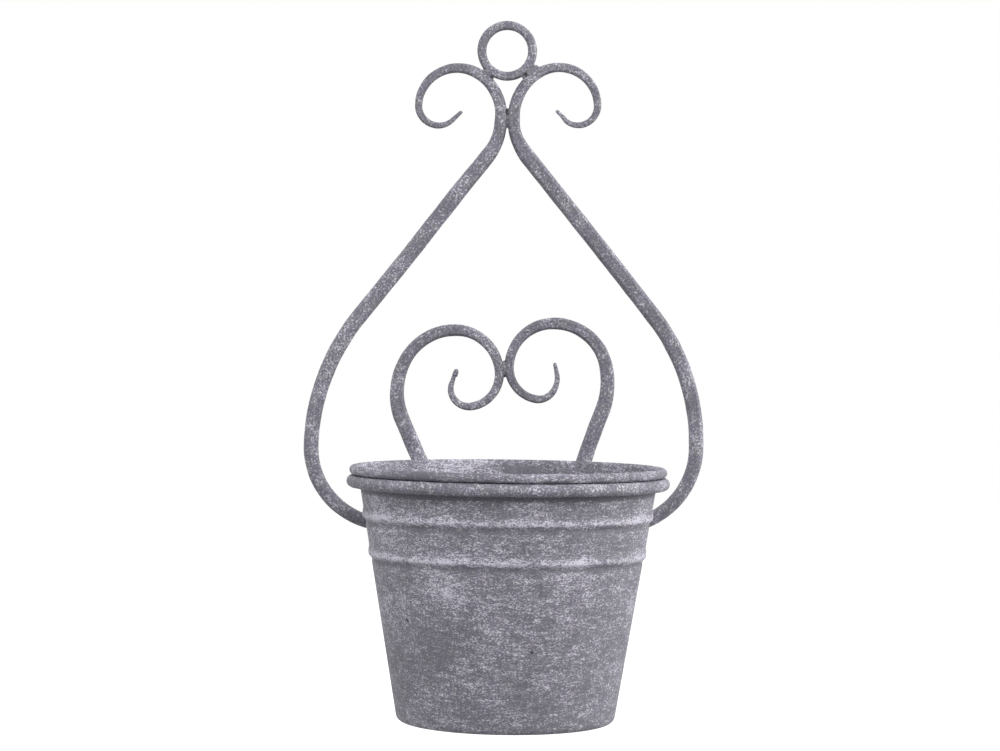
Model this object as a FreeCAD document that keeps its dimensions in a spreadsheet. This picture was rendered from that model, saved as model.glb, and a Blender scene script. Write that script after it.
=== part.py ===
"""Wall planter: a tapered sheet-metal pot that drops into the hoop of a scrolled wrought frame.

The frame's rods lie in one upright plane, x across and z up, with the hanging ring's centre at
the origin. The pot and its hoop stand in front of that plane, towards -y, and the wall is
behind it. Lengths are in millimetres and angles in degrees. Headings are measured
anticlockwise from +x, as seen from the front, on the left-hand rods; right-hand rods mirror them.
"""
import FreeCAD, Part
import math
import os

import Sketcher

os.makedirs("parts", exist_ok=True)
doc = FreeCAD.newDocument("wall_planter")
Vector = FreeCAD.Vector


# --- Driving sizes -----------------------------------------------------------------------

DRIVING_SIZES = [
    ("ring_bore", 27.4, "clear width inside the hanging ring"),
    ("ring_rod", 6.2, "rod of the hanging ring"),
    ("weld_gap", 0.3, "root gap that each weld bridges between two rods"),
    ("hoop_gap", 0.45, "level room between the hoop and a leg, part of which the leg's lean fills"),

    ("crown_radius", 34.0, "arm: bend that leaves the neck and passes under the ring"),
    ("crown_angle", 61.0, "arm: turn of that bend"),
    ("scroll_radius", 25.6, "arm: main bend of the top scroll"),
    ("scroll_angle", 116.0, "arm: turn of that bend"),
    ("curl_radius", 13.2, "arm: tight bend at the scroll's end"),
    ("curl_angle", 136.0, "arm: turn of that bend"),
    ("scroll_tip_length", 8.0, "arm: straight tip of the scroll"),
    ("neck_radius", 42.5, "arm: bend from the neck into the long straight"),
    ("side_radius", 140.0, "arm: wide bend at the side"),
    ("side_reach", 128.0, "arm: centre line at its widest, from the middle of the frame"),
    ("side_drop", 263.0, "arm: that widest point, below the ring's centre"),
    ("foot_radius", 52.0, "arm: bend that carries it in behind the pot"),

    ("arm_foot_rod", 9.0, "arm: thickness behind the pot"),
    ("arm_side_rod", 9.8, "arm: thickness at its widest point"),
    ("arm_rod", 10.6, "arm: thickness along the straight"),
    ("neck_rod", 8.2, "arm: thickness at the neck"),
    ("crown_rod", 6.8, "arm: thickness beside the ring"),
    ("scroll_rod", 5.2, "arm: thickness where the scroll tightens"),
    ("curl_rod", 3.4, "arm: thickness where its tip runs straight"),
    ("tip_rod", 2.6, "thickness of each forged tip"),

    ("heart_drop_left", 215.0, "left heart scroll: its innermost point, below the ring's centre"),
    ("heart_drop_right", 209.7, "right heart scroll: the same point"),
    ("lobe_radius", 29.3, "heart scroll: bend over its inner top"),
    ("lobe_angle", 89.0, "heart scroll: turn of that bend"),
    ("shoulder_radius", 36.7, "heart scroll: bend over its outer top"),
    ("shoulder_angle", 69.0, "heart scroll: turn of that bend"),
    ("flank_radius", 47.3, "heart scroll: bend down its outer side, into the leg"),
    ("leg_reach", 50.6, "heart scroll: leg's centre line at the hoop, from the middle"),
    ("leg_tail", 3.0, "heart scroll: leg below the arm that is welded to it"),
    ("hook_radius", 21.5, "heart scroll: bend of its inner hook"),
    ("hook_angle", 81.0, "heart scroll: turn of that bend"),
    ("hook_end_radius", 11.9, "heart scroll: tight bend at the hook's end"),
    ("hook_end_angle", 116.0, "heart scroll: turn of that bend"),
    ("hook_tip_length", 8.5, "heart scroll: straight tip of the hook"),

    ("heart_rod", 6.2, "heart scroll: thickness at its innermost point"),
    ("lobe_rod", 7.8, "heart scroll: thickness at its top"),
    ("shoulder_rod", 8.6, "heart scroll: thickness where the flank starts"),
    ("leg_rod", 10.2, "heart scroll: thickness of the leg"),
    ("hook_rod", 5.4, "heart scroll: thickness where the hook tightens"),
    ("hook_end_rod", 3.6, "heart scroll: thickness where its tip runs straight"),

    ("hoop_radius", 97.9, "hoop: centre line"),
    ("hoop_rod", 7.8, "hoop: rod"),
    ("hoop_drop", 281.2, "hoop: centre, below the ring's centre"),

    ("wall_taper", 9.55, "pot: lean of its wall from upright"),
    ("wall_sheet", 0.7, "pot: thickness of the wall"),
    ("wall_clearance", 0.3, "pot: play between its wall and the hoop's inside"),
    ("seat_clearance", 0.3, "pot: play between its rolled rim and the hoop's top"),
    ("pot_depth", 150.5, "pot: underside, below the hoop's centre"),
    ("corner_radius", 4.5, "pot: outside radius of its lower corner"),
    ("turn_in", 6.0, "pot: width of the wall's turned-in lower edge"),
    ("bead_rise", 1.4, "pot: height of a swaged bead"),
    ("bead_width", 9.5, "pot: width of a swaged bead"),
    ("upper_bead_drop", 21.5, "pot: upper bead, below the hoop's centre"),
    ("lower_bead_drop", 46.0, "pot: lower bead, below the hoop's centre"),
    ("rim_wire", 4.2, "pot: wire that stiffens the rolled rim"),
    ("wire_clearance", 0.1, "pot: play between that wire and the sheet rolled over it"),
    ("rim_roll", 300.0, "pot: how far the sheet is rolled round the wire"),

    ("base_sheet", 0.8, "base: thickness"),
    ("base_clearance", 0.2, "base: play between its edge and the wall"),
    ("panel_rise", 2.0, "base: how far its middle stands up"),
    ("panel_margin", 14.0, "base: width of its flat border"),
    ("panel_slope", 3.0, "base: width of the slope up to its middle"),

    ("seam_weld_length", 11.0, "weld of two rods side by side: length along them"),
    ("seam_weld_depth", 3.4, "weld of two rods side by side: half depth"),
    ("spot_weld_radius", 4.6, "weld of a leg on the hoop: reach from the joint"),
    ("collar_weld_length", 6.0, "weld of an arm's foot: length along the arm"),
    ("collar_weld_rise", 1.8, "weld of an arm's foot: height on the leg's side"),
]

sheet = doc.addObject("Spreadsheet::Sheet", "Sizes")
for row, (alias, number, meaning) in enumerate(DRIVING_SIZES, start=1):
    sheet.set(f"A{row}", meaning)
    sheet.set(f"B{row}", str(number))
    sheet.setAlias(f"B{row}", alias)
doc.recompute()


def size(formula):
    """Number that a formula of sheet sizes comes to."""
    return float(sheet.evalExpression(formula))


# --- Formulas that more than one piece uses ----------------------------------------------

# The ring rests between the two crown bends. An arm is as thick there as the mean of its
# neck and its crown, and half of that counts.
RING_RADIUS = "(Sizes.ring_bore / 2 + Sizes.ring_rod / 2)"
NECK_REACH = "(Sizes.neck_rod / 2 + Sizes.weld_gap / 2)"
ARM_HALF_AT_RING = "(Sizes.neck_rod / 4 + Sizes.crown_rod / 4)"
RING_TO_CROWN = (f"({RING_RADIUS} + Sizes.ring_rod / 2 + Sizes.weld_gap"
                 f" + {ARM_HALF_AT_RING} + Sizes.crown_radius)")
NECK_DROP = f"sqrt({RING_TO_CROWN}^2 - (Sizes.crown_radius + {NECK_REACH})^2)"

# The hoop's centre lies so far in front of the rods' plane that it just clears both legs.
HOOP_TO_LEG = "(Sizes.hoop_radius + Sizes.hoop_rod / 2 + Sizes.hoop_gap + Sizes.leg_rod / 2)"
FRAME_OFFSET = f"sqrt({HOOP_TO_LEG}^2 - Sizes.leg_reach^2)"

# Section of the pot, measured outwards from its axis and up from the hoop's centre. The wall
# is a straight taper, and the rim is rolled outwards round its wire and rests on the hoop.
SIN_TAPER = "sin(Sizes.wall_taper)"
COS_TAPER = "cos(Sizes.wall_taper)"
TAN_TAPER = "tan(Sizes.wall_taper)"
WALL_AT_HOOP = "(Sizes.hoop_radius - Sizes.hoop_rod / 2 - Sizes.wall_clearance)"
ROLL_INSIDE = "(Sizes.rim_wire / 2 + Sizes.wire_clearance)"
ROLL_OUTSIDE = f"({ROLL_INSIDE} + Sizes.wall_sheet)"
ROLL_TO_HOOP = f"({ROLL_OUTSIDE} + Sizes.hoop_rod / 2 + Sizes.seat_clearance)"
ROLL_SHIFT = f"({WALL_AT_HOOP} + {ROLL_INSIDE} / {COS_TAPER} - Sizes.hoop_radius)"
RIM_RISE = (f"((sqrt(({ROLL_SHIFT} * {TAN_TAPER})^2"
            f" - (1 + {TAN_TAPER}^2) * ({ROLL_SHIFT}^2 - {ROLL_TO_HOOP}^2))"
            f" - {ROLL_SHIFT} * {TAN_TAPER}) / (1 + {TAN_TAPER}^2))")
RIM_RADIUS = f"(Sizes.hoop_radius + {ROLL_SHIFT} + {RIM_RISE} * {TAN_TAPER})"
CORNER_RISE = "(Sizes.corner_radius - Sizes.pot_depth)"
CORNER_CENTRE = (f"({WALL_AT_HOOP} + {CORNER_RISE} * {TAN_TAPER}"
                 f" - Sizes.corner_radius / {COS_TAPER})")


# --- Rods --------------------------------------------------------------------------------

def bend(radius, turn, thickness):
    """Step of a rod: an arc, anticlockwise where turn is positive, and the thickness it ends at."""
    return {"radius": radius, "turn": turn, "thickness": thickness}


def straight(length, thickness):
    """Step of a rod: a straight run, and the thickness it ends at."""
    return {"length": length, "thickness": thickness}


def direction(heading):
    """Unit vector of a heading in the frame's plane."""
    return Vector(math.cos(math.radians(heading)), 0, math.sin(math.radians(heading)))


def follow(point, heading, step):
    """Middle, end and new heading of one step from a point."""
    if "length" in step:
        along = direction(heading) * step["length"]
        return point + along / 2, point + along, heading
    reach = math.copysign(step["radius"], step["turn"])
    centre = point + direction(heading + 90) * reach
    turned = heading + step["turn"]
    middle = centre - direction(heading + step["turn"] / 2 + 90) * reach
    return middle, centre - direction(turned + 90) * reach, turned


def walk(point, heading, steps):
    """Point and heading at the end of some steps."""
    for step in steps:
        _, point, heading = follow(point, heading, step)
    return point, heading


def round_section(point, heading, thickness):
    """Round outline of a rod, square to its heading, with its seam at the back."""
    outline = Part.Wire(Part.makeCircle(thickness / 2))
    turn = FreeCAD.Rotation(Vector(0, 1, 0), Vector(), direction(heading), "ZXY")
    outline.Placement = FreeCAD.Placement(point, turn)
    return outline


def rod_skin(point, heading, thickness, steps, end_shape):
    """Faces of a tapering rod from a point on, closed at its far end by a dome or a flat cut."""
    faces = []
    for step in steps:
        middle, end, turned = follow(point, heading, step)
        if "length" in step:
            spine = Part.makeLine(point, end)
        else:
            spine = Part.Arc(point, middle, end).toShape()
        sweep = Part.BRepOffsetAPI.MakePipeShell(Part.Wire(spine))
        sweep.setBiNormalMode(Vector(0, 1, 0))
        sweep.add(round_section(point, heading, thickness))
        sweep.add(round_section(end, turned, step["thickness"]))
        sweep.build()
        faces.extend(sweep.shape().Faces)
        point, heading, thickness = end, turned, step["thickness"]
    if end_shape == "cut":
        return faces + [Part.Face(round_section(point, heading, thickness))]
    onward = direction(heading) * (thickness / 2)
    outward = Vector(0, thickness / 2, 0)
    shoulder = point + (onward + outward) * math.sqrt(0.5)
    profile = Part.Arc(point + outward, shoulder, point + onward).toShape()
    return faces + profile.revolve(point, onward, 360).Faces


def rod(label, side, anchor, thickness, upward, downward, ends):
    """Rod with steps both ways from an anchor, where it stands upright."""
    faces = rod_skin(anchor, 90, thickness, upward, ends[0])
    faces += rod_skin(anchor, -90, thickness, downward, ends[1])
    skin = Part.makeCompound(faces)
    skin.sewShape()
    solid = Part.Solid(skin.Shells[0])
    if side == "right":
        solid = solid.mirror(Vector(0, 0, 0), Vector(1, 0, 0))
    if solid.Volume < 0:
        solid.reverse()
    feature = doc.addObject("Part::Feature", label)
    feature.Shape = solid
    return feature


# The arm's long straight is the inner tangent of its neck bend and its side bend, which
# touch upright lines at the neck and at the arm's widest point.
neck = Vector(-size(NECK_REACH), 0, -size(NECK_DROP))
widest = Vector(-size("Sizes.side_reach"), 0, -size("Sizes.side_drop"))
neck_centre = neck - Vector(size("Sizes.neck_radius"), 0, 0)
side_centre = widest + Vector(size("Sizes.side_radius"), 0, 0)
between = side_centre - neck_centre
both_radii = size("Sizes.neck_radius + Sizes.side_radius")
straight_length = math.sqrt(between.Length ** 2 - both_radii ** 2)
straight_heading = math.degrees(math.atan2(between.z, between.x)
                                - math.atan2(both_radii, straight_length))
straight_lean = -90 - straight_heading

# Each leg's straight is the tangent of its flank bend through the point beside the hoop.
leg_at_hoop = Vector(-size("Sizes.leg_reach"), 0, -size("Sizes.hoop_drop"))
foot_height = widest.z - size("Sizes.foot_radius")


def heart_scroll(side):
    """One heart scroll with its leg, and the leg's heading."""
    anchor = Vector(-size("Sizes.heart_rod / 2 + Sizes.weld_gap / 2"), 0,
                    -size(f"Sizes.heart_drop_{side}"))
    leg_rod = size("Sizes.leg_rod")
    over = [
        bend(size("Sizes.lobe_radius"), size("Sizes.lobe_angle"), size("Sizes.lobe_rod")),
        bend(size("Sizes.shoulder_radius"), size("Sizes.shoulder_angle"),
             size("Sizes.shoulder_rod")),
    ]
    flank_start, heading = walk(anchor, 90, over)
    flank_radius = size("Sizes.flank_radius")
    to_hoop = leg_at_hoop - (flank_start + direction(heading + 90) * flank_radius)
    leg_heading = math.degrees(math.atan2(to_hoop.z, to_hoop.x)
                               + math.asin(flank_radius / to_hoop.Length))
    over.append(bend(flank_radius, (leg_heading - heading) % 360, leg_rod))
    leg_start, _ = walk(anchor, 90, over)
    leg_end = foot_height - size("Sizes.arm_foot_rod / 2 + Sizes.leg_tail")
    leg_length = (leg_end - leg_start.z) / math.sin(math.radians(leg_heading))
    over.append(straight(leg_length, leg_rod))
    hook = [
        bend(size("Sizes.hook_radius"), -size("Sizes.hook_angle"), size("Sizes.hook_rod")),
        bend(size("Sizes.hook_end_radius"), -size("Sizes.hook_end_angle"),
             size("Sizes.hook_end_rod")),
        straight(size("Sizes.hook_tip_length"), size("Sizes.tip_rod")),
    ]
    scroll = rod(f"heart_scroll_{side}", side, anchor, size("Sizes.heart_rod"), over, hook,
                 ("cut", "dome"))
    return scroll, leg_heading


def arm(side, leg_heading):
    """One arm, from its top scroll round the side to the leg behind the pot, and its foot's end."""
    leg_rise = leg_at_hoop.z - foot_height
    leg_centre = leg_at_hoop.x - leg_rise / math.tan(math.radians(leg_heading))
    foot_rod = size("Sizes.arm_foot_rod")
    steepness = math.radians(leg_heading)
    leg_half_width = size("Sizes.leg_rod / 2") / abs(math.sin(steepness))
    corner_reach = foot_rod / 2 / abs(math.tan(steepness))
    foot_end = leg_centre - leg_half_width - corner_reach - size("Sizes.weld_gap")
    foot_length = foot_end - (widest.x + size("Sizes.foot_radius"))
    upward = [
        bend(size("Sizes.crown_radius"), size("Sizes.crown_angle"), size("Sizes.crown_rod")),
        bend(size("Sizes.scroll_radius"), size("Sizes.scroll_angle"), size("Sizes.scroll_rod")),
        bend(size("Sizes.curl_radius"), size("Sizes.curl_angle"), size("Sizes.curl_rod")),
        straight(size("Sizes.scroll_tip_length"), size("Sizes.tip_rod")),
    ]
    downward = [
        bend(size("Sizes.neck_radius"), -straight_lean, size("Sizes.arm_rod")),
        straight(straight_length, size("Sizes.arm_rod")),
        bend(size("Sizes.side_radius"), straight_lean, size("Sizes.arm_side_rod")),
        bend(size("Sizes.foot_radius"), 90, foot_rod),
        straight(foot_length, foot_rod),
    ]
    piece = rod(f"arm_{side}", side, neck, size("Sizes.neck_rod"), upward, downward,
                ("dome", "cut"))
    return piece, foot_end


heart_scrolls = {}
arms = {}
foot_ends = {}
for side in ("left", "right"):
    heart_scrolls[side], side_heading = heart_scroll(side)
    arms[side], foot_ends[side] = arm(side, side_heading)


# --- Rings -------------------------------------------------------------------------------

def place(piece, height_formula):
    """Put a piece's own origin on the pot's axis, at a height."""
    piece.setExpression("Placement.Base.y", f"-{FRAME_OFFSET}")
    piece.setExpression("Placement.Base.z", height_formula)


def round_ring(label, radius_formula, rod_formula):
    """Closed ring of round rod."""
    ring = doc.addObject("Part::Torus", label)
    ring.setExpression("Radius1", radius_formula)
    ring.setExpression("Radius2", f"{rod_formula} / 2")
    return ring


hanging_ring = round_ring("hanging_ring", RING_RADIUS, "Sizes.ring_rod")
hanging_ring.Placement = FreeCAD.Placement(Vector(), FreeCAD.Rotation(Vector(1, 0, 0), 90))

hoop = round_ring("pot_hoop", "Sizes.hoop_radius", "Sizes.hoop_rod")
place(hoop, "-Sizes.hoop_drop")

rim_wire = round_ring("rim_wire", RIM_RADIUS, "Sizes.rim_wire")
place(rim_wire, f"{RIM_RISE} - Sizes.hoop_drop")


# --- Pot ---------------------------------------------------------------------------------

def section(body, name, corners, curves):
    """Closed outline in a body's upright plane.

    The corners are pairs of formulas. The side that leaves a corner is straight, or an arc
    where curves gives the formulas of its radius and centre and which way it turns.
    """
    sketch = body.newObject("Sketcher::SketchObject", name)
    upright = [item for item in body.Origin.OriginFeatures if item.Role == "XZ_Plane"][0]
    sketch.AttachmentSupport = (upright, [""])
    sketch.MapMode = "FlatFace"
    points = [Vector(size(across), size(up), 0) for across, up in corners]
    starts = []
    for index, start in enumerate(points):
        end = points[(index + 1) % len(points)]
        if index not in curves:
            sketch.addGeometry(Part.LineSegment(start, end))
            starts.append(1)
            continue
        radius, centre, anticlockwise = curves[index]
        middle = Vector(size(centre[0]), size(centre[1]), 0)
        first, last = (start, end) if anticlockwise else (end, start)
        angles = [math.atan2(point.y - middle.y, point.x - middle.x) for point in (first, last)]
        circle = Part.Circle(middle, Vector(0, 0, 1), size(radius))
        sketch.addGeometry(Part.ArcOfCircle(circle, angles[0], angles[1]))
        starts.append(1 if anticlockwise else 2)
    for index, corner in enumerate(corners):
        following = (index + 1) % len(corners)
        sketch.addConstraint(Sketcher.Constraint(
            "Coincident", index, 3 - starts[index], following, starts[following]))
        for axis, formula in zip(("DistanceX", "DistanceY"), corner):
            number = sketch.addConstraint(Sketcher.Constraint(
                axis, -1, 1, index, starts[index], size(formula)))
            label = f"corner_{index}_{axis[-1].lower()}"
            sketch.renameConstraint(number, label)
            sketch.setExpression(f"Constraints.{label}", formula)
    for index, (radius, _, _) in curves.items():
        number = sketch.addConstraint(Sketcher.Constraint("Radius", index, size(radius)))
        sketch.renameConstraint(number, f"radius_{index}")
        sketch.setExpression(f"Constraints.radius_{index}", radius)
    return sketch


def turned(body, kind, sketch):
    """Feature that turns a section right round the body's axis."""
    feature = body.newObject(kind, f"{sketch.Name}_turned")
    feature.Profile = sketch
    feature.ReferenceAxis = (sketch, ["V_Axis"])
    feature.Angle = 360
    doc.recompute()
    return feature


def offset_point(centre, radius, across, up):
    """Formulas of a point at a radius from a centre, in the direction (across, up)."""
    return f"{centre[0]} + {radius} * {across}", f"{centre[1]} + {radius} * {up}"


roll = (RIM_RADIUS, RIM_RISE)
corner = (CORNER_CENTRE, CORNER_RISE)
inner_corner = "(Sizes.corner_radius - Sizes.wall_sheet)"
roll_end = "(180 - Sizes.wall_taper - Sizes.rim_roll)"
lip_edge = f"{CORNER_CENTRE} - Sizes.turn_in"

pot_wall = doc.addObject("PartDesign::Body", "pot_wall")
place(pot_wall, "-Sizes.hoop_drop")
wall_corners = [
    offset_point(corner, "Sizes.corner_radius", COS_TAPER, f"-{SIN_TAPER}"),
    offset_point(roll, ROLL_INSIDE, f"-{COS_TAPER}", SIN_TAPER),
    offset_point(roll, ROLL_INSIDE, f"cos({roll_end})", f"sin({roll_end})"),
    offset_point(roll, ROLL_OUTSIDE, f"cos({roll_end})", f"sin({roll_end})"),
    offset_point(roll, ROLL_OUTSIDE, f"-{COS_TAPER}", SIN_TAPER),
    offset_point(corner, inner_corner, COS_TAPER, f"-{SIN_TAPER}"),
    (CORNER_CENTRE, "Sizes.wall_sheet - Sizes.pot_depth"),
    (lip_edge, "Sizes.wall_sheet - Sizes.pot_depth"),
    (lip_edge, "-Sizes.pot_depth"),
    (CORNER_CENTRE, "-Sizes.pot_depth"),
]
wall_curves = {
    1: (ROLL_INSIDE, roll, False),
    3: (ROLL_OUTSIDE, roll, True),
    5: (inner_corner, corner, False),
    9: ("Sizes.corner_radius", corner, True),
}
turned(pot_wall, "PartDesign::Revolution", section(pot_wall, "wall_section", wall_corners,
                                                   wall_curves))

# A bead is swaged outwards, so the same arc that swells the outside hollows the inside. The
# swell starts on a chord in the middle of the sheet, and the hollow on one just inside it.
BEAD_RADIUS = ("((Sizes.bead_width^2 / 4 + Sizes.bead_rise^2)"
               " / (2 * Sizes.bead_rise))")
BEAD_INSIDE = f"({BEAD_RADIUS} - Sizes.wall_sheet)"
OUTSIDE_CHORD = f"({BEAD_RADIUS} - Sizes.bead_rise - Sizes.wall_sheet / 2)"
INSIDE_CHORD = f"({BEAD_RADIUS} - Sizes.bead_rise - 1.5 * Sizes.wall_sheet)"


def bead_section(name, drop, arc_radius, chord):
    """Segment of a bead's circle, cut off by a chord along the wall."""
    depth = f"({BEAD_RADIUS} - Sizes.bead_rise)"
    centre = (f"({WALL_AT_HOOP} - {drop} * {TAN_TAPER} - {depth} * {COS_TAPER})",
              f"({depth} * {SIN_TAPER} - {drop})")
    half = f"sqrt({arc_radius}^2 - {chord}^2)"
    lower = (f"{centre[0]} + {chord} * {COS_TAPER} - {half} * {SIN_TAPER}",
             f"{centre[1]} - {chord} * {SIN_TAPER} - {half} * {COS_TAPER}")
    upper = (f"{centre[0]} + {chord} * {COS_TAPER} + {half} * {SIN_TAPER}",
             f"{centre[1]} - {chord} * {SIN_TAPER} + {half} * {COS_TAPER}")
    return section(pot_wall, name, [lower, upper], {0: (arc_radius, centre, True)})


for bead in ("upper", "lower"):
    bead_drop = f"Sizes.{bead}_bead_drop"
    swell = bead_section(f"{bead}_bead_outside", bead_drop, BEAD_RADIUS, OUTSIDE_CHORD)
    turned(pot_wall, "PartDesign::Revolution", swell)
    solid_volume = pot_wall.Shape.Volume
    hollow = bead_section(f"{bead}_bead_inside", bead_drop, BEAD_INSIDE, INSIDE_CHORD)
    turned(pot_wall, "PartDesign::Groove", hollow)
    if pot_wall.Shape.Volume >= solid_volume:
        raise ValueError(f"the {bead} bead is not hollow")

# The base is a disc with a raised middle. It lies on the wall's turned-in edge.
base_edge = f"{CORNER_CENTRE} - Sizes.base_clearance"
border_edge = f"{base_edge} - Sizes.panel_margin"
panel_edge = f"{border_edge} - Sizes.panel_slope"
base_under = "Sizes.wall_sheet - Sizes.pot_depth"
pot_base = doc.addObject("PartDesign::Body", "pot_base")
place(pot_base, "-Sizes.hoop_drop")
base_corners = [
    ("0", f"{base_under} + Sizes.panel_rise"),
    (panel_edge, f"{base_under} + Sizes.panel_rise"),
    (border_edge, base_under),
    (base_edge, base_under),
    (base_edge, f"{base_under} + Sizes.base_sheet"),
    (border_edge, f"{base_under} + Sizes.base_sheet"),
    (panel_edge, f"{base_under} + Sizes.panel_rise + Sizes.base_sheet"),
    ("0", f"{base_under} + Sizes.panel_rise + Sizes.base_sheet"),
]
turned(pot_base, "PartDesign::Revolution", section(pot_base, "base_section", base_corners, {}))


# --- Welds -------------------------------------------------------------------------------

def weld(label, metal, pieces):
    """Weld metal left round a joint once the pieces take their own room."""
    joined = doc.addObject("Part::Compound", f"{label}_rods")
    joined.Links = pieces
    bead = doc.addObject("Part::Cut", label)
    bead.Base = metal
    bead.Tool = joined
    return bead


def seam_weld(label, centre, tilt, pieces):
    """Weld along two rods that lie side by side, tilted in the frame's plane."""
    metal = doc.addObject("Part::Cylinder", f"{label}_metal")
    metal.setExpression("Radius", "Sizes.seam_weld_depth")
    metal.setExpression("Height", "Sizes.seam_weld_length")
    turn = FreeCAD.Rotation(Vector(0, 1, 0), tilt)
    start = centre - turn.multVec(Vector(0, 0, size("Sizes.seam_weld_length / 2")))
    metal.Placement = FreeCAD.Placement(start, turn)
    return weld(label, metal, pieces)


def spot_weld(label, centre, pieces):
    """Weld where two rods cross."""
    metal = doc.addObject("Part::Sphere", f"{label}_metal")
    metal.setExpression("Radius", "Sizes.spot_weld_radius")
    metal.Placement.Base = centre
    return weld(label, metal, pieces)


def collar_weld(label, start, along, pieces):
    """Weld round the end of an arm, widening towards the leg that it meets."""
    metal = doc.addObject("Part::Cone", f"{label}_metal")
    metal.setExpression("Radius1", "Sizes.arm_foot_rod / 2 + Sizes.weld_gap")
    metal.setExpression("Radius2", "Sizes.arm_foot_rod / 2 + Sizes.collar_weld_rise")
    metal.setExpression("Height", "Sizes.collar_weld_length")
    metal.Placement = FreeCAD.Placement(start, FreeCAD.Rotation(Vector(0, 0, 1), along))
    return weld(label, metal, pieces)


both_arms = [arms["left"], arms["right"]]
both_hearts = [heart_scrolls["left"], heart_scrolls["right"]]
hearts_middle = -size("(Sizes.heart_drop_left + Sizes.heart_drop_right) / 2")
seam_weld("weld_neck", Vector(0, 0, neck.z), 0, both_arms)
seam_weld("weld_hearts", Vector(0, 0, hearts_middle), 0, both_hearts)

# The hanging ring touches each arm's crown bend on the line between their centres, and the
# hoop touches each leg on the line from the hoop's axis to that leg.
crown_centre = neck - Vector(size("Sizes.crown_radius"), 0, 0)
crown_slope = math.degrees(math.atan2(-crown_centre.z, -crown_centre.x))
ring_reach = size(f"{RING_RADIUS} + (Sizes.ring_rod + Sizes.weld_gap) / 2")
at_ring = direction(crown_slope) * -ring_reach
hoop_reach = size("Sizes.hoop_radius + (Sizes.hoop_rod + Sizes.weld_gap) / 2")
leg_share = size(f"Sizes.leg_reach / {HOOP_TO_LEG}")
hoop_depth = hoop_reach * math.sqrt(1 - leg_share ** 2) - size(FRAME_OFFSET)
for side, sign in (("left", -1), ("right", 1)):
    seam_weld(f"weld_ring_{side}", Vector(-sign * at_ring.x, 0, at_ring.z),
              sign * crown_slope, [arms[side], hanging_ring])
    at_hoop = Vector(sign * hoop_reach * leg_share, hoop_depth, leg_at_hoop.z)
    spot_weld(f"weld_hoop_{side}", at_hoop, [heart_scrolls[side], hoop])
    collar_start = foot_ends[side] - size("Sizes.collar_weld_length / 2")
    collar_weld(f"weld_foot_{side}", Vector(-sign * collar_start, 0, foot_height),
                Vector(-sign, 0, 0), [arms[side], heart_scrolls[side]])


# --- Checks and files --------------------------------------------------------------------

PIECES = [
    "hanging_ring", "arm_left", "arm_right", "heart_scroll_left", "heart_scroll_right",
    "pot_hoop", "pot_wall", "pot_base", "rim_wire", "weld_neck", "weld_hearts",
    "weld_ring_left", "weld_ring_right", "weld_hoop_left", "weld_hoop_right",
    "weld_foot_left", "weld_foot_right",
]

doc.recompute()
for item in doc.Objects:
    if "Invalid" in item.State or "Error" in item.State:
        raise ValueError(f"{item.Label} did not build")
for label in PIECES:
    shape = doc.getObject(label).Shape
    if shape.isNull() or not shape.isValid() or shape.Volume <= 0:
        raise ValueError(f"{label} is not a sound solid")
for label in PIECES:
    shape = doc.getObject(label).Shape
    shape.exportStep(f"parts/{label}.step")
    print(f"{label}: {len(shape.Solids)} solid, {shape.Volume / 1000:.2f} cm3")
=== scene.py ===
"""Wall planter in its finish: an antiqued zinc wash over forged rods and a spun sheet pot."""
import math

import bpy
from mathutils import Matrix, Vector


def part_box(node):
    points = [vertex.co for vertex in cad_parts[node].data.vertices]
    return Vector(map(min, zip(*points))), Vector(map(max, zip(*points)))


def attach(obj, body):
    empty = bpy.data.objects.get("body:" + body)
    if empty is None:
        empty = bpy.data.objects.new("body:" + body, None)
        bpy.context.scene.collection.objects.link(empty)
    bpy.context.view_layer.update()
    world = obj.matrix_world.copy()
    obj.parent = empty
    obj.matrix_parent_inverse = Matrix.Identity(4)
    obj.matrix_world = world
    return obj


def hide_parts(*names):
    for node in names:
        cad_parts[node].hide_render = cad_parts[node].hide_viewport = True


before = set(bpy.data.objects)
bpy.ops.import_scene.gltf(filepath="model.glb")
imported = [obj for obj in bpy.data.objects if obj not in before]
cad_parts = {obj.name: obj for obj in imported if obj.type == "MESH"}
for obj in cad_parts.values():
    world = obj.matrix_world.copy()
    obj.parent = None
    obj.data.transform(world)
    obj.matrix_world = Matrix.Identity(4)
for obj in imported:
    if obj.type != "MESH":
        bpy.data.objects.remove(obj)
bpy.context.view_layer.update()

MM = 0.001
MERGE = 0.001 * MM    # points closer than this are one


# --- Places and sizes taken from the frame ------------------------------------------------

hoop_low, hoop_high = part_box("pot_hoop")
HOOP_ROD = hoop_high.z - hoop_low.z
HOOP_RADIUS = (hoop_high.x - hoop_low.x - HOOP_ROD) / 2
HOOP_CENTRE = (hoop_low + hoop_high) / 2

wire_low, wire_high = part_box("rim_wire")
WIRE = wire_high.z - wire_low.z
RIM_RADIUS = (wire_high.x - wire_low.x - WIRE) / 2
RIM_HEIGHT = (wire_low.z + wire_high.z) / 2

POT_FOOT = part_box("pot_wall")[0].z


def by_pot(across, back, up):
    """Place in millimetres from the pot's middle line, with heights from the ring's middle."""
    return Vector((across, HOOP_CENTRE.y / MM + back, up)) * MM


# --- Modelling helpers --------------------------------------------------------------------

def select_only(piece):
    """Make a piece the only one selected, and the active one."""
    bpy.ops.object.select_all(action="DESELECT")
    piece.select_set(True)
    bpy.context.view_layer.objects.active = piece


def finish_with(piece, kind, **settings):
    """Add a modifier to a piece and apply it."""
    modifier = piece.modifiers.new(kind.lower(), kind)
    for name, value in settings.items():
        setattr(modifier, name, value)
    select_only(piece)
    bpy.ops.object.modifier_apply(modifier=modifier.name)


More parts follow.
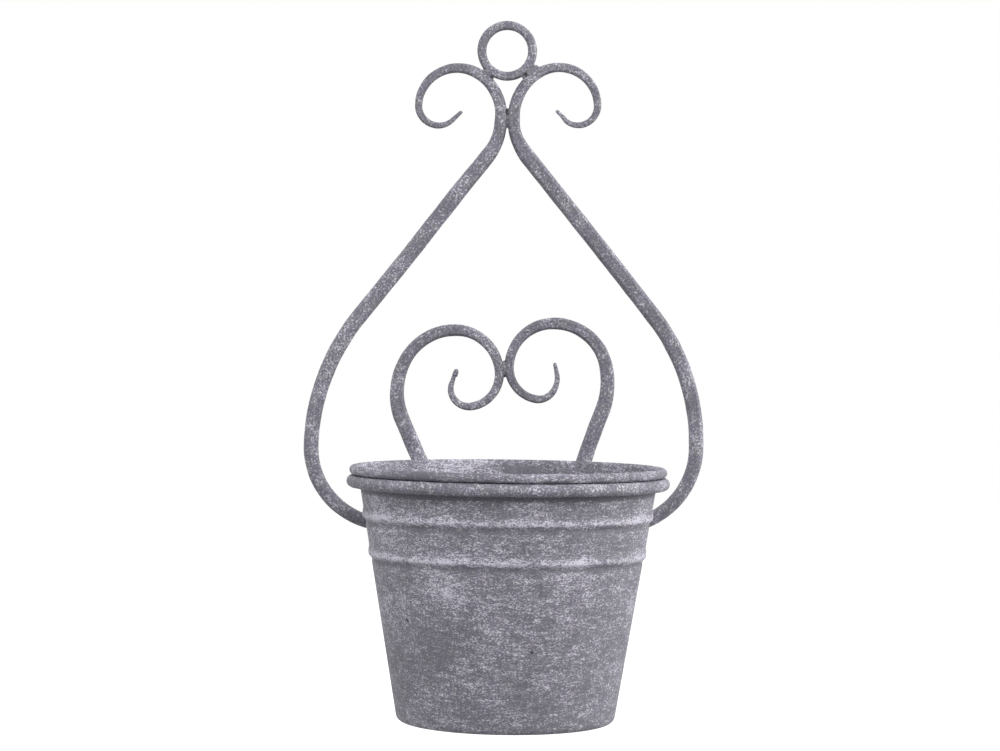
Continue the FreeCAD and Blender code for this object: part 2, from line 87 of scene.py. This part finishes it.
def copy_of(node, name):
    """Copy of a CAD node with its loose triangles merged."""
    piece = bpy.data.objects.new(name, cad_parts[node].data.copy())
    bpy.context.scene.collection.objects.link(piece)
    select_only(piece)
    bpy.ops.object.mode_set(mode="EDIT")
    bpy.ops.mesh.select_all(action="SELECT")
    bpy.ops.mesh.remove_doubles(threshold=MERGE)
    bpy.ops.object.mode_set(mode="OBJECT")
    return piece


def ease(share):
    """Smooth step from 0 to 1, level before and after."""
    return (1 - math.cos(math.pi * min(max(share, 0), 1))) / 2


def lumps(name, across):
    """Texture of soft lumps of about that size, for uneven metal."""
    texture = bpy.data.textures.new(name, "CLOUDS")
    texture.noise_scale = across
    texture.noise_depth = 1
    return texture


def stand_for(piece, node, body, finish):
    """Let a finished piece take a CAD node's place."""
    piece.data.materials.clear()
    piece.data.materials.append(finish)
    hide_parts(node)
    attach(piece, body)


# --- Material helpers ---------------------------------------------------------------------

def colour(text):
    """Linear colour of an sRGB hex value."""
    shares = [int(text[i:i + 2], 16) / 255 for i in (1, 3, 5)]
    linear = [s / 12.92 if s <= 0.04045 else ((s + 0.055) / 1.055) ** 2.4 for s in shares]
    return (*linear, 1)


def add(tree, kind, inputs=None, **settings):
    """Add one node, with its settings and with its inputs' numbers or links."""
    made = tree.nodes.new(kind)
    for name, value in settings.items():
        setattr(made, name, value)
    for socket, value in (inputs or {}).items():
        if isinstance(value, bpy.types.NodeSocket):
            tree.links.new(value, made.inputs[socket])
        else:
            made.inputs[socket].default_value = value
    return made


def seen_directly(tree):
    """1 for rays from the camera and for what gloss or glass shows, 0 for the rest."""
    ray = add(tree, "ShaderNodeLightPath")
    seen = ray.outputs["Is Camera Ray"]
    for other in ("Is Glossy Ray", "Is Transmission Ray"):
        seen = add(tree, "ShaderNodeMath", {0: seen, 1: ray.outputs[other]},
                   operation="MAXIMUM").outputs[0]
    return seen


# --- Finishes -----------------------------------------------------------------------------

PRIMER = "#605e66"
GROUND_VIOLET = "#7e7b88"
GROUND_NEUTRAL = "#7d7c80"
FLECK = "#c7c4cf"
BARE_STEEL = "#3f3d43"

# Where, from no wash to full wash, the primer gives way to the ground and the ground to flecks.
GROUND_SHOWS = (0.22, 0.56)
FLECKS_SHOW = (0.56, 0.80)

# Where the broader dabs turn the ground from violet to neutral, and how matt they leave it.
HUE_TURNS = (0.42, 0.62)
ROUGHNESS = (0.62, 0.86)

FINE_DAB = 2             # dabs narrower than this, in millimetres, have the finer detail
FINE_DETAIL = 3.0
BROAD_DETAIL = 1.0
GRAIN = 0.7              # how strong that detail is in each dab
BROADER_RELIEF = 1.5     # the broader dabs' relief, for 1 of the finest
RELIEF_STRENGTH = 0.7
CHIP_RAG = 2.0 * MM      # how far a chip's edge wanders in all
CHIP_EDGE = 0.3 * MM     # how softly it ends, to either side


def zinc_wash(name, layers, depth, cover, bands=(), drifts=(), chips=()):
    """Zinc wash, dabbed thinly over dark primed steel and left matt.

    The eye sees a violet grey ground, neutral in places, under crisp pale flecks about a
    millimetre across, which gather in loose drifts. layers are widths in millimetres, the finest
    first, how strongly the wash varies over each, and how far each is pressed into level rows.
    cover is how much wash there is, and depth the relief of the dabbed surface in millimetres.
    Each band is a level, a reach and how much more wash lies there, and each drift the same round
    a place; the bands paint light and shade by height, such as highlights on crests and shade in
    creases. Each chip is a small place, with a radius, that is bare of it.
    """
    finish = bpy.data.materials.new(name)
    finish.use_nodes = True
    tree = finish.node_tree
    shader = tree.nodes["Principled BSDF"]
    place = add(tree, "ShaderNodeTexCoord").outputs["Object"]

    wash = cover
    dabs = []
    for across, strength, flatten in layers:
        rows = add(tree, "ShaderNodeMapping", {"Vector": place, "Scale": (1, 1, flatten)})
        dab = add(tree, "ShaderNodeTexNoise", {
            "Vector": rows.outputs["Vector"], "Scale": 1 / (across * MM), "Roughness": GRAIN,
            "Detail": FINE_DETAIL if across < FINE_DAB else BROAD_DETAIL})
        dabs.append(dab.outputs["Fac"])
        share = add(tree, "ShaderNodeMath", {0: dabs[-1], 1: strength, 2: -strength / 2},
                    operation="MULTIPLY_ADD")
        wash = add(tree, "ShaderNodeMath", {0: wash, 1: share.outputs[0]}).outputs[0]
    finest, broader = dabs[:2]

    height = add(tree, "ShaderNodeSeparateXYZ", {"Vector": place}).outputs["Z"]
    changes = []
    for level, reach, more in bands:
        off = add(tree, "ShaderNodeMath", {0: height, 1: level}, operation="SUBTRACT")
        away = add(tree, "ShaderNodeMath", {0: off.outputs[0]}, operation="ABSOLUTE")
        changes.append((away.outputs[0], reach, more))
    for centre, reach, more in drifts:
        away = add(tree, "ShaderNodeVectorMath", {0: place, 1: centre}, operation="DISTANCE")
        changes.append((away.outputs["Value"], reach, more))
    # The bands paint light and shade into the wash by height, and the drifts change it round a
    # place.
    for away, reach, more in changes:
        change = add(tree, "ShaderNodeMapRange", {
            "Value": away, "From Min": reach, "From Max": 0, "To Max": more,
        }, interpolation_type="SMOOTHSTEP")
        wash = add(tree, "ShaderNodeMath", {0: wash, 1: change.outputs["Result"]}).outputs[0]

    hue = add(tree, "ShaderNodeMapRange", {
        "Value": broader, "From Min": HUE_TURNS[0], "From Max": HUE_TURNS[1]})
    ground = add(tree, "ShaderNodeMix", {
        0: hue.outputs["Result"], 6: colour(GROUND_VIOLET), 7: colour(GROUND_NEUTRAL),
    }, data_type="RGBA").outputs[2]
    for (low, high), under, over in ((GROUND_SHOWS, colour(PRIMER), ground),
                                     (FLECKS_SHOW, None, colour(FLECK))):
        share = add(tree, "ShaderNodeMapRange", {
            "Value": wash, "From Min": low, "From Max": high,
        }, interpolation_type="SMOOTHSTEP").outputs["Result"]
        ground = add(tree, "ShaderNodeMix", {0: share, 6: under or ground, 7: over},
                     data_type="RGBA").outputs[2]
    for centre, radius in chips:
        away = add(tree, "ShaderNodeVectorMath", {0: place, 1: centre}, operation="DISTANCE")
        ragged = add(tree, "ShaderNodeMath", {0: finest, 1: CHIP_RAG, 2: away.outputs["Value"]},
                     operation="MULTIPLY_ADD")
        edge = radius + CHIP_RAG / 2
        gone = add(tree, "ShaderNodeMapRange", {
            "Value": ragged.outputs[0], "From Min": edge + CHIP_EDGE, "From Max": edge - CHIP_EDGE,
        }, interpolation_type="SMOOTHSTEP")
        ground = add(tree, "ShaderNodeMix", {
            0: gone.outputs["Result"], 6: ground, 7: colour(BARE_STEEL),
        }, data_type="RGBA").outputs[2]
    tree.links.new(ground, shader.inputs["Base Color"])

    rough = add(tree, "ShaderNodeMapRange", {
        "Value": broader, "To Min": ROUGHNESS[0], "To Max": ROUGHNESS[1]})
    tree.links.new(rough.outputs["Result"], shader.inputs["Roughness"])
    shader.inputs["Metallic"].default_value = 0.0
    shader.inputs["IOR"].default_value = 1.5

    relief = add(tree, "ShaderNodeMath", {0: broader, 1: BROADER_RELIEF, 2: finest},
                 operation="MULTIPLY_ADD")
    bump = add(tree, "ShaderNodeBump", {
        "Height": relief.outputs[0], "Distance": depth * MM, "Strength": RELIEF_STRENGTH})
    tree.links.new(bump.outputs["Normal"], shader.inputs["Normal"])
    return finish


# Heights of the two beads' crests.
BEAD_CRESTS = (HOOP_CENTRE.z - 21.8 * MM, HOOP_CENTRE.z - 45.6 * MM)

# Bands: a painted highlight on each crest's upper slope, painted shade in the crease below it, and
# a painted shadow in the corner that the hoop shelters, each made with more or less wash. It is
# slowly darker towards the foot.
# Painted highlight on each bead's crest and upper slope, as more wash there: level above the
# crest, reach, more.
CREST_HIGHLIGHT = (0.9 * MM, 4.2 * MM, 0.24)
# Painted shade in the crease under each bead, as less wash there.
CREASE_SHADE = (-3.8 * MM, 2.4 * MM, -0.17)
SHEET_BANDS = [(crest + over, reach, more)
               for crest in BEAD_CRESTS for over, reach, more in (CREST_HIGHLIGHT, CREASE_SHADE)]
# Painted shadow in the corner under the hoop, as much less wash there.
SHEET_BANDS.append((HOOP_CENTRE.z - 5.5 * MM, 2.5 * MM, -0.35))
# Slowly darker towards the foot.
SHEET_BANDS.append((POT_FOOT, 95 * MM, -0.07))

# Pale drifts have more wash, and dark ones less.
SHEET_DRIFTS = (
    (by_pot(-39, -74, -342), 24 * MM, 0.17),                    # pale, front left under the beads
    (by_pot(-47, -63, -372), 32 * MM, -0.13),                   # dark, below that
    (by_pot(38, -71, -364), 32 * MM, -0.06),                    # dark, front right
    (by_pot(64, -64, -310), 36 * MM, -0.12),                    # dark, right of the beads
    (by_pot(-80, -46, -300), 30 * MM, 0.20),                    # pale, left under the hoop
    (by_pot(-55, -84, RIM_HEIGHT / MM + 14), 40 * MM, -0.22),   # dark, the rim's front left
    (by_pot(-34, 92, RIM_HEIGHT / MM - 6), 42 * MM, 0.16),      # pale, inside by the seam
)

# Two small chips on the front.
FRONT_CHIPS = (
    (by_pot(-62.7, -49.5, -363.8), 1.4 * MM),
    (by_pot(12.7, -76, -380), 1.0 * MM),
)

# Small dark spots, in the bare steel colour, in the corners of the neck, ring and heart joints.
JOINT_DARK_SPOTS = (
    (Vector((-0.5, -2.0, -40.0)) * MM, 1.5 * MM),
    (Vector((-0.4, -2.0, -42.0)) * MM, 1.1 * MM),
    (Vector((-10.5, -2.6, -17.6)) * MM, 1.4 * MM),
    (Vector((11.5, -2.6, -15.9)) * MM, 1.4 * MM),
    (Vector((-0.4, -2.0, -205.9)) * MM, 1.2 * MM),
)

# On the spun sheet the wash lies in level rows and broad drifts, and its last layer is stretched
# upright: the eye sees a mottled wall with faint runs down it. Its bands paint a highlight on each
# bead's crest, and shade in the creases and under the hoop.
washed_sheet_with_painted_shading = zinc_wash(
    "zinc_washed_sheet_steel_with_painted_shading",
    ((1.3, 2.05, 2.0), (5, 0.66, 3.2), (14, 0.45, 3.0), (40, 0.35, 1.5), (1.6, 0.4, 0.15)),
    depth=0.14, cover=0.50, bands=SHEET_BANDS, drifts=SHEET_DRIFTS, chips=FRONT_CHIPS)

# Over the seam the wash is thin and even, so that the strip looks darker than the wall by it.
washed_seam = zinc_wash(
    "thinly_washed_seam", ((1.3, 0.8, 1), (9, 0.3, 1)), depth=0.08, cover=0.37)

# On the forged rods it is dabbed unevenly along their length, so that pale and dark stretches
# follow each other under the flecks.
washed_rod = zinc_wash(
    "zinc_washed_forged_rod", ((1.3, 1.9, 1), (6, 0.45, 1), (22, 0.55, 1)),
    depth=0.16, cover=0.48, chips=JOINT_DARK_SPOTS)

# On weld metal it is thinner, over a rougher surface: the joints look darker than the rods.
washed_weld = zinc_wash(
    "zinc_washed_weld_metal", ((1.3, 1.3, 1), (5, 0.5, 1)),
    depth=0.2, cover=0.42, chips=JOINT_DARK_SPOTS)


# --- Forged rods and rings ----------------------------------------------------------------

def flattened(piece, share):
    """Press a rod's front and back to flats, at that share of its half thickness.

    The flats run out towards the pot, where the rods are left round for their welds.
    """
    facings = [abs(vertex.normal.y) for vertex in piece.data.vertices]
    for vertex, facing in zip(piece.data.vertices, facings):
        run_out = ease((FLATS_END - vertex.co.z) / FLATS_RUN_OUT)
        level = share + (1 - share) * run_out
        if facing > level:
            vertex.co.y *= level / facing


def forged(node, flats, hammer_depth, outward_share):
    """A rod with its hammered flats, and the slight unevenness that hammering leaves.

    outward_share is how much of the depth may stand proud of the plain rod.
    """
    piece = copy_of(node, f"{node}_forged")
    finish_with(piece, "REMESH", mode="VOXEL", voxel_size=ROD_VOXEL, use_smooth_shade=True)
    finish_with(piece, "SMOOTH", factor=0.5, iterations=2)
    flattened(piece, flats)
    finish_with(piece, "SMOOTH", factor=0.5, iterations=1)
    finish_with(piece, "DISPLACE", texture=hammer_marks, texture_coords="LOCAL",
                mid_level=1 - outward_share, strength=hammer_depth)
    return piece


def bent(piece, around, grip, shift, reach):
    """Push a rod sideways in its own plane, with the push fading out over reach.

    around and shift are x and z in millimetres, and grip is what moves the whole way.
    """
    centre = Vector((around[0], 0, around[1])) * MM
    push = Vector((shift[0], 0, shift[1])) * MM
    for vertex in piece.data.vertices:
        beyond = (vertex.co - centre).length - grip * MM
        vertex.co += push * ease(1 - beyond / (reach * MM))


def upset_tip(piece, tip, reach, swelling, shift):
    """Swell the end of a rod, as where it was struck end on, and set it a little aside."""
    select_only(piece)
    bpy.ops.object.mode_set(mode="EDIT")
    bpy.ops.mesh.select_all(action="DESELECT")
    bpy.ops.object.mode_set(mode="OBJECT")
    for vertex in piece.data.vertices:
        vertex.select = (vertex.co - tip).length < reach
    bpy.ops.object.mode_set(mode="EDIT")
    bpy.ops.transform.resize(value=(swelling,) * 3, center_override=tip)
    bpy.ops.transform.translate(value=shift)
    bpy.ops.object.mode_set(mode="OBJECT")
    finish_with(piece, "SMOOTH", factor=0.5, iterations=3)


hammer_marks = lumps("hammer_marks", 13 * MM)
ROD_VOXEL = 0.6 * MM
FLATS_END = RIM_HEIGHT + 35 * MM
FLATS_RUN_OUT = 20 * MM

# How each is forged: its flats, the hammering's depth, and how much of it stands outward. The
# hoop is left round.
ROD_FORGING = (0.80, 0.4 * MM, 0.5)
RING_FORGING = {
    "hanging_ring": (0.88, 0.3 * MM, 0.3),
    "pot_hoop": (1.0, 0.3 * MM, 0.3),
}

LEFT_HOOK_TIP = Vector((-31.9, 0, -212.6)) * MM
TIP_REACH = 3.2 * MM
TIP_SWELLING = 1.5
TIP_SHIFT = (0.4 * MM, 0, 0)

# Where the hand-bent rods leave the even line of the frame: around, grip, shift, reach.
HAND_BENDS = {
    "arm_left": (((-89, -166), 8, (2.1, 0), 140), ((-47, -31), 20, (0.7, -1.6), 24),
                 ((-13, -57), 1, (0.8, 0), 12), ((-24, -70), 1, (0.7, 0), 22)),
    "arm_right": (((89, -166), 8, (1.9, 0), 140), ((31.1, -39.2), 3, (1.2, 0), 12),
                  ((10.5, -54), 1, (-0.9, 0), 11)),
    "heart_scroll_left": (((-72, -252), 8, (-1.2, 0), 55),),
    "heart_scroll_right": (((68, -238), 8, (-1.5, 0), 50), ((31.9, -206.8), 3, (1.5, 0), 16)),
    "hanging_ring": (((0, 0), 30, (-0.7, -0.2), 10),),
    "pot_hoop": (),
}
for rod, bends in HAND_BENDS.items():
    rough_rod = forged(rod, *RING_FORGING.get(rod, ROD_FORGING))
    for bend in bends:
        bent(rough_rod, *bend)
    if rod == "heart_scroll_left":
        upset_tip(rough_rod, LEFT_HOOK_TIP, TIP_REACH, TIP_SWELLING, TIP_SHIFT)
    stand_for(rough_rod, rod, "frame", washed_rod)


# --- Welds --------------------------------------------------------------------------------

weld_ripples = lumps("weld_ripples", 2.6 * MM)
WELD_VOXEL = 0.35 * MM
RIPPLE_DEPTH = 1.1 * MM
RIPPLE_LEVEL = 0.4    # the ripple that leaves the surface where it is

# Each seam weld fills the valley between two rods: its length along them, its width across
# the joint, its depth, which stays under the rods' own, and how far it sits sideways and up.
SEAM_WELDS = {
    "weld_neck": (12.5 * MM, 3.2 * MM, 4.6 * MM, 0, -1.2 * MM),
    "weld_hearts": (11.0 * MM, 4.2 * MM, 4.2 * MM, 0, 1.4 * MM),
    "weld_ring_left": (9.5 * MM, 5.2 * MM, 5.4 * MM, 0.4 * MM, -0.3 * MM),
    "weld_ring_right": (13.0 * MM, 7.6 * MM, 5.8 * MM, 2.4 * MM, -1.0 * MM),
}


def seam_bead(node, length, width, depth, sideways, up):
    """Rounded weld metal along a joint between two rods.

    The ring's welds lie across it, square to the line from its middle.
    """
    low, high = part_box(node)
    centre = (low + high) / 2
    lean = math.atan2(centre.x, -centre.z) if "ring" in node else 0
    centre += Vector((math.cos(lean), 0, math.sin(lean))) * sideways + Vector((0, 0, up))
    bpy.ops.object.select_all(action="DESELECT")
    bpy.ops.mesh.primitive_ico_sphere_add(subdivisions=5, radius=0.5, location=(0, 0, 0))
    piece = bpy.context.object
    piece.name = f"{node}_bead"
    across, upright = (length, width) if "ring" in node else (width, length)
    piece.data.transform(Matrix.Diagonal((across, depth, upright, 1)))
    piece.data.transform(Matrix.Rotation(-lean, 4, "Y"))
    piece.data.transform(Matrix.Translation(centre))
    return piece


def joint_bead(node):
    """Weld metal round a joint behind the pot."""
    piece = copy_of(node, f"{node}_bead")
    finish_with(piece, "REMESH", mode="VOXEL", voxel_size=WELD_VOXEL, use_smooth_shade=True)
    return piece


for weld in [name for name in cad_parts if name.startswith("weld_")]:
    bead = seam_bead(weld, *SEAM_WELDS[weld]) if weld in SEAM_WELDS else joint_bead(weld)
    finish_with(bead, "DISPLACE", texture=weld_ripples, texture_coords="LOCAL",
                mid_level=RIPPLE_LEVEL, strength=RIPPLE_DEPTH)
    finish_with(bead, "SMOOTH", factor=0.5, iterations=4)
    select_only(bead)
    bpy.ops.object.shade_smooth()
    stand_for(bead, weld, "frame", washed_weld)


# --- Pot ----------------------------------------------------------------------------------

WALL_TAPER = math.radians(9.55)
SHEET = 0.7 * MM
WALL_PLAY = 0.3 * MM     # between wall and hoop
WIRE_PLAY = 0.1 * MM     # between the rolled rim and its wire
TURN_IN = 6.0 * MM       # the edge turned in under the base
FOOT_BEND = 4.5 * MM     # radius of the bend at the foot
ROLL_ROOM = 2 * MM       # under the rolled rim, where the plain wall runs into it
RIM_TURN = math.radians(300)
BEAD_RISE = 1.4 * MM
BEAD_RAMP = 7.6 * MM     # from the plain wall down to the crest
BEAD_HOLLOW = 1.3        # above 1, the ramp starts slowly and steepens to the crest
BEAD_FALL = 3.0 * MM     # from the crest down into the crease below it
CREASE_DEPTH = 0.35 * MM
CREASE_END = 2.6 * MM    # from the crease out to the plain wall

ROUND_STEPS = 224
FOOT_STEPS = 8
RIM_STEPS = 24
FINE_STEP = 0.8 * MM
PLAIN_STEP = 5 * MM
NEAR_BEAD = 9 * MM       # within this of a crest the steps are fine
JUST_INSIDE = 1.02       # of the sheet's thickness, so that the seam strip lies clear of it


def wall_radius(height):
    """Outside radius of the plain taper."""
    at_hoop = HOOP_RADIUS - HOOP_ROD / 2 - WALL_PLAY
    return at_hoop + (height - HOOP_CENTRE.z) * math.tan(WALL_TAPER)


def swell(height):
    """How far the beads stand out: each rises gently from above and drops into a crease."""
    total = 0
    for crest in BEAD_CRESTS:
        above = height - crest
        if 0 <= above < BEAD_RAMP:
            total += BEAD_RISE * ease(1 - above / BEAD_RAMP) ** BEAD_HOLLOW
        elif -BEAD_FALL <= above < 0:
            share = ease(1 + above / BEAD_FALL)
            total += (BEAD_RISE + CREASE_DEPTH) * share - CREASE_DEPTH
        elif -BEAD_FALL - CREASE_END < above < -BEAD_FALL:
            total -= CREASE_DEPTH * ease(1 + (above + BEAD_FALL) / CREASE_END)
    return total


def wall_stations():
    """(radius, height) pairs up the outside of the sheet, from its turned-in edge."""
    bend_height = POT_FOOT + FOOT_BEND
    bend_radius = wall_radius(bend_height) - FOOT_BEND / math.cos(WALL_TAPER)
    stations = [(bend_radius - TURN_IN, POT_FOOT), (bend_radius - TURN_IN / 2, POT_FOOT)]
    for step in range(FOOT_STEPS + 1):
        angle = -math.pi / 2 + (math.pi / 2 - WALL_TAPER) * step / FOOT_STEPS
        stations.append((bend_radius + FOOT_BEND * math.cos(angle),
                         bend_height + FOOT_BEND * math.sin(angle)))
    roll = WIRE / 2 + WIRE_PLAY
    top = RIM_HEIGHT + roll * math.sin(WALL_TAPER)
    height = stations[-1][1]
    while True:
        near = min(abs(height - crest) for crest in BEAD_CRESTS)
        height += FINE_STEP if near < NEAR_BEAD else PLAIN_STEP
        if height > top - ROLL_ROOM:
            break
        stations.append((wall_radius(height) + swell(height), height))
    for step in range(RIM_STEPS + 1):
        angle = math.pi - WALL_TAPER - RIM_TURN * step / RIM_STEPS
        stations.append((RIM_RADIUS + roll * math.cos(angle),
                         RIM_HEIGHT + roll * math.sin(angle)))
    return stations


def spun_wall():
    """The pot's sheet: a ring of edges drawn up station by station, then given its thickness."""
    stations = wall_stations()
    radius, height = stations[0]
    bpy.ops.object.select_all(action="DESELECT")
    bpy.ops.mesh.primitive_circle_add(vertices=ROUND_STEPS, radius=radius,
                                      location=(0, HOOP_CENTRE.y, height))
    piece = bpy.context.object
    piece.name = "pot_wall_spun"
    bpy.ops.object.transform_apply(location=True, rotation=True, scale=True)
    bpy.ops.object.mode_set(mode="EDIT")
    bpy.ops.mesh.select_all(action="SELECT")
    for next_radius, next_height in stations[1:]:
        bpy.ops.mesh.extrude_region_move(
            TRANSFORM_OT_translate={"value": (0, 0, next_height - height)})
        grow = next_radius / radius
        bpy.ops.transform.resize(value=(grow, grow, 1),
                                 center_override=(0, HOOP_CENTRE.y, next_height))
        radius, height = next_radius, next_height
    bpy.ops.mesh.select_all(action="SELECT")
    bpy.ops.mesh.remove_doubles(threshold=MERGE)
    bpy.ops.object.mode_set(mode="OBJECT")
    outward = sum(f.normal.dot(f.center - Vector((0, HOOP_CENTRE.y, f.center.z)))
                  for f in piece.data.polygons if f.center.z < HOOP_CENTRE.z)
    if outward < 0:
        piece.data.flip_normals()
    finish_with(piece, "SOLIDIFY", thickness=SHEET, offset=-1.0, use_even_offset=True)
    select_only(piece)
    bpy.ops.object.shade_smooth_by_angle(angle=math.radians(50))
    stand_for(piece, "pot_wall", "pot", washed_sheet_with_painted_shading)


def lapped_seam():
    """The strip inside the wall where the sheet's ends lap, at the back and to the right."""
    seam_from, seam_to = 1 * MM, 27 * MM    # round the wall, from the middle of the back
    lap, rounding = 0.5 * MM, 0.15 * MM
    bottom = POT_FOOT + 2.5 * MM
    top = RIM_HEIGHT - 1 * MM
    bpy.ops.object.select_all(action="DESELECT")
    bpy.ops.mesh.primitive_grid_add(x_subdivisions=14, y_subdivisions=120, size=1)
    piece = bpy.context.object
    piece.name = "pot_seam_lap"
    for vertex in piece.data.vertices:
        height = bottom + (vertex.co.y + 0.5) * (top - bottom)
        inside = wall_radius(height) + swell(height) - SHEET * JUST_INSIDE
        turn = (seam_from + (vertex.co.x + 0.5) * (seam_to - seam_from)) / HOOP_RADIUS
        vertex.co = (inside * math.sin(turn), HOOP_CENTRE.y + inside * math.cos(turn), height)
    inward = sum(f.normal.y for f in piece.data.polygons)
    if inward > 0:
        piece.data.flip_normals()
    finish_with(piece, "SOLIDIFY", thickness=lap, offset=1.0)
    finish_with(piece, "BEVEL", width=rounding, segments=2, limit_method="ANGLE")
    select_only(piece)
    bpy.ops.object.shade_smooth_by_angle(angle=math.radians(40))
    piece.data.materials.append(washed_seam)
    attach(piece, "pot")


spun_wall()
lapped_seam()

# The base and the wire in the rim show little, and keep their CAD meshes.
for node, finish in (("pot_base", washed_sheet_with_painted_shading), ("rim_wire", washed_rod)):
    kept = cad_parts[node]
    kept.data.materials.clear()
    kept.data.materials.append(finish)


# --- Floor, light and camera --------------------------------------------------------------

FLOOR_SIDE = 9
FLOOR_DROP = 0.25                # below the pot's foot
FADE_FROM, FADE_TO = 0.5, 1.4    # from the floor's middle, in metres
FLOOR_GLOW = 0.74                # what the lit floor lacks of white at its middle

# The dome is nearly dark below level and reaches its full light at a low slope: these are the
# sines of the two angles, and the strengths there.
DOME_RISE = (-0.05, 0.25)
DOME_LIGHT = (0.04, 0.85)


def pale_floor():
    """Plain pale floor well below the hung planter, which still takes its shadow.

    It fades into the white surround, so that no horizon shows.
    """
    bpy.ops.object.select_all(action="DESELECT")
    bpy.ops.mesh.primitive_plane_add(size=FLOOR_SIDE, location=(0, 0, POT_FOOT - FLOOR_DROP))
    floor = bpy.context.object
    floor.name = "floor"
    matt = bpy.data.materials.new("matt_white_studio_floor")
    matt.use_nodes = True
    tree = matt.node_tree
    tree.nodes.clear()
    paint = add(tree, "ShaderNodeBsdfDiffuse", {"Color": colour("#959595")})
    place = add(tree, "ShaderNodeTexCoord").outputs["Object"]
    out = add(tree, "ShaderNodeVectorMath", {0: place}, operation="LENGTH").outputs["Value"]
    fade = add(tree, "ShaderNodeMapRange", {
        "Value": out, "From Min": FADE_FROM, "From Max": FADE_TO,
        "To Min": FLOOR_GLOW, "To Max": 1.0})
    seen = add(tree, "ShaderNodeMath", {0: seen_directly(tree), 1: fade.outputs["Result"]},
               operation="MULTIPLY")
    glow = add(tree, "ShaderNodeEmission", {
        "Color": colour("#ffffff"), "Strength": seen.outputs[0]})
    both = add(tree, "ShaderNodeAddShader", {0: paint.outputs[0], 1: glow.outputs[0]})
    add(tree, "ShaderNodeOutputMaterial", {"Surface": both.outputs[0]})
    floor.data.materials.append(matt)


def white_surround():
    """Soft light from overhead and all round, seen as plain white."""
    world = bpy.data.worlds.new("studio")
    bpy.context.scene.world = world
    world.use_nodes = True
    tree = world.node_tree
    tree.nodes.clear()
    sky = add(tree, "ShaderNodeTexCoord").outputs["Generated"]
    up = add(tree, "ShaderNodeSeparateXYZ", {"Vector": sky}).outputs["Z"]
    dome = add(tree, "ShaderNodeMapRange", {
        "Value": up, "From Min": DOME_RISE[0], "From Max": DOME_RISE[1],
        "To Min": DOME_LIGHT[0], "To Max": DOME_LIGHT[1]})
    light = add(tree, "ShaderNodeBackground",
                {"Color": colour("#fbfbff"), "Strength": dome.outputs["Result"]})
    white = add(tree, "ShaderNodeBackground", {"Color": colour("#ffffff"), "Strength": 1.0})
    both = add(tree, "ShaderNodeMixShader",
               {0: seen_directly(tree), 1: light.outputs[0], 2: white.outputs[0]})
    add(tree, "ShaderNodeOutputWorld", {"Surface": both.outputs[0]})


def soft_lamp(name, azimuth, elevation, distance, across, power):
    """Square soft box that looks at the hoop's middle.

    azimuth is in degrees round to the right of front, the rest in degrees, metres and watts.
    """
    turn, rise = math.radians(azimuth), math.radians(elevation)
    away = Vector((math.sin(turn) * math.cos(rise), -math.cos(turn) * math.cos(rise),
                   math.sin(rise)))
    lamp = bpy.data.lights.new(name, "AREA")
    lamp.size = across
    lamp.energy = power
    holder = bpy.data.objects.new(name, lamp)
    bpy.context.scene.collection.objects.link(holder)
    holder.location = HOOP_CENTRE + away * distance
    holder.rotation_euler = (-away).to_track_quat("-Z", "Y").to_euler()


def photo_camera():
    """Camera at the photograph's place: almost level, a little to the left and turned slightly.

    It is set by where the hoop's middle falls in the picture, in pixels.
    """
    picture_width, picture_height = 1000, 751
    hoop_pixel_x, hoop_pixel_y = 508.2, 482.0
    yaw, tilt, roll = (math.radians(angle) for angle in (1.92, 0.78, 0.72))
    distance = 1.7325
    lens, sensor = 99.0, 36.0
    focus = lens / sensor * picture_width
    ahead = Vector((math.sin(yaw) * math.cos(tilt), math.cos(yaw) * math.cos(tilt),
                    -math.sin(tilt)))
    level = Vector((math.cos(yaw), -math.sin(yaw), 0))
    upright = level.cross(ahead)
    right = level * math.cos(roll) + upright * math.sin(roll)
    top = upright * math.cos(roll) - level * math.sin(roll)
    across = (hoop_pixel_x - picture_width / 2) / focus
    down = (hoop_pixel_y - picture_height / 2) / focus
    data = bpy.data.cameras.new("photo_camera")
    data.lens = lens
    data.sensor_width = sensor
    data.clip_start = 0.05
    data.clip_end = 50
    camera = bpy.data.objects.new("photo_camera", data)
    bpy.context.scene.collection.objects.link(camera)
    place = HOOP_CENTRE - (ahead + right * across - top * down) * distance
    turn = Matrix((right, top, -ahead)).transposed().to_4x4()
    camera.matrix_world = Matrix.Translation(place) @ turn
    bpy.context.scene.camera = camera


pale_floor()
white_surround()
soft_lamp("front_above", azimuth=5, elevation=35, distance=2.2, across=1.0, power=28)
soft_lamp("right_side", azimuth=94, elevation=15, distance=2.0, across=0.9, power=28)
soft_lamp("left_edge", azimuth=-108, elevation=8, distance=2.0, across=0.9, power=7)
photo_camera()
bpy.context.scene.view_settings.view_transform = "Standard"


# --- Scene update -------------------------------------------------------------------------

bpy.context.view_layer.update()
